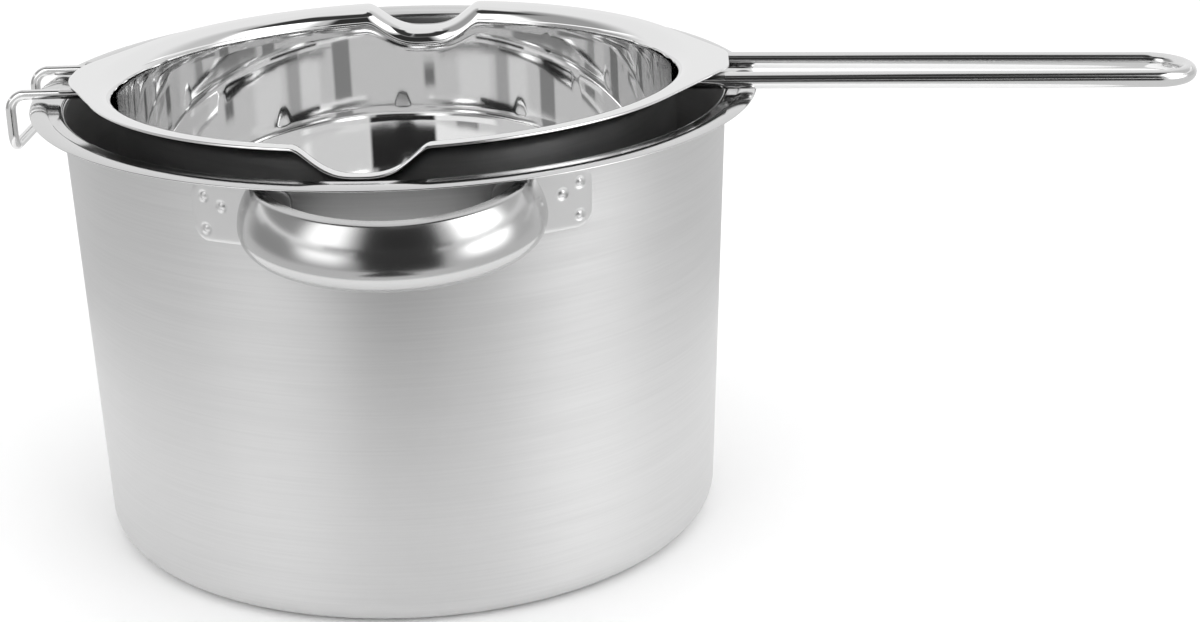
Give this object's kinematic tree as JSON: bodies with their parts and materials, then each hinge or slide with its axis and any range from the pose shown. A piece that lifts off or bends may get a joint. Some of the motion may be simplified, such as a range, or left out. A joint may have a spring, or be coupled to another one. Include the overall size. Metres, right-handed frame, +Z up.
{
  "type": "wax melting pot",
  "caption": "Round steel double boiler for melting wax: a water pot with strap grips, and a lift-out bowl with pouring spouts, a long wire handle and a rest hook.",
  "frame": {"origin": "centre of the flat underside of the water pot's base", "axes": "+X along the long pouring handle, -Y towards the front grip and front spout, +Z up"},
  "size_m": [0.2943, 0.2158, 0.1171],
  "materials": {
    "pot_steel": "satin stainless steel",
    "grip_steel": "polished stainless steel",
    "ear_steel": "satin stainless steel",
    "bowl_steel": "mirror polished stainless steel",
    "rod_steel": "polished stainless steel",
    "weld_steel": "dull stainless steel"
  },
  "bodies": {
    "water_pot": {"water_pot": "pot_steel", "front_grip": "grip_steel", "rear_grip": "grip_steel", "front_left_ear": "ear_steel", "front_right_ear": "ear_steel", "rear_left_ear": "ear_steel", "rear_right_ear": "ear_steel", "front_left_ear_spot_1": "weld_steel", "front_left_ear_spot_2": "weld_steel", "front_left_ear_spot_3": "weld_steel", "front_right_ear_spot_1": "weld_steel", "front_right_ear_spot_2": "weld_steel", "front_right_ear_spot_3": "weld_steel", "rear_left_ear_spot_1": "weld_steel", "rear_left_ear_spot_2": "weld_steel", "rear_left_ear_spot_3": "weld_steel", "rear_right_ear_spot_1": "weld_steel", "rear_right_ear_spot_2": "weld_steel", "rear_right_ear_spot_3": "weld_steel"},
    "melting_bowl": {"melting_bowl": "bowl_steel", "pour_handle": "rod_steel", "hook_wire": "rod_steel", "handle_weld_front": "weld_steel", "handle_weld_rear": "weld_steel", "hook_weld_front": "weld_steel", "hook_weld_rear": "weld_steel"}
  },
  "joints": [
    {"name": "bowl_lift", "type": "slide", "parent": "water_pot", "child": "melting_bowl", "axis": [0, 0, 1], "range_m": [0, 0.09]}
  ]
}
